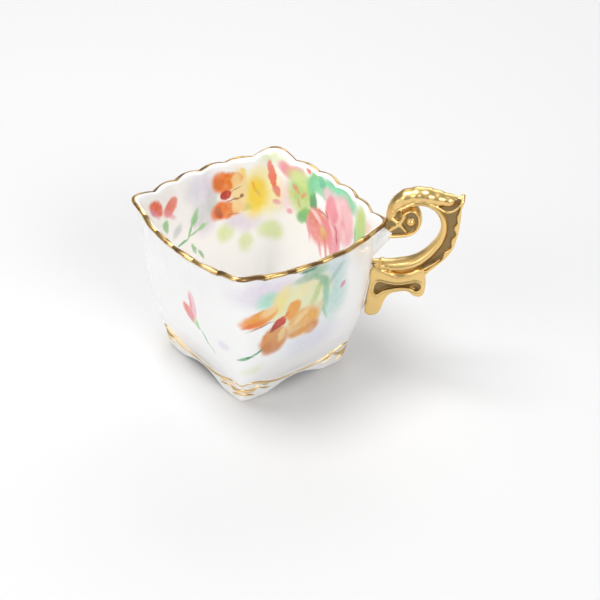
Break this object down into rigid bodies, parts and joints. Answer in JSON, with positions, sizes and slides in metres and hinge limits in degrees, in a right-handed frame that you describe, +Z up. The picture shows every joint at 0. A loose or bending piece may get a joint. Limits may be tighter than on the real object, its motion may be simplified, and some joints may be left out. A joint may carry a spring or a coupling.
{
  "type": "miniature porcelain teacup",
  "caption": "Small square porcelain teacup with a flared scalloped gilt rim, corner feet, painted flowers and a gilt scroll handle on one corner.",
  "frame": {"origin": "centre of the bowl on the plane of the four feet", "axes": "+Z up along the bowl's axis, +X from the axis to the corner that carries the handle, and the handle lies in the XZ plane"},
  "size_m": [0.051, 0.04, 0.0333],
  "materials": {
    "porcelain": "white slip-cast porcelain under a clear gloss glaze, with flowers painted in enamel",
    "gilt_porcelain": "cast porcelain covered with bright burnished gilding",
    "rim_gold": "bright fired gilt film, a little worn on the lobes",
    "foot_gold": "brushed pale gilt line work",
    "slip": "fired porcelain slip under the glaze"
  },
  "bodies": {
    "root": {"cup_body": "porcelain", "handle": "gilt_porcelain", "rim_gilding": "rim_gold", "upper_slip_joint": "slip", "lower_slip_joint": "slip", "right_foot_gilding": "foot_gold", "back_foot_gilding": "foot_gold", "left_foot_gilding": "foot_gold", "front_foot_gilding": "foot_gold"}
  },
  "joints": []
}
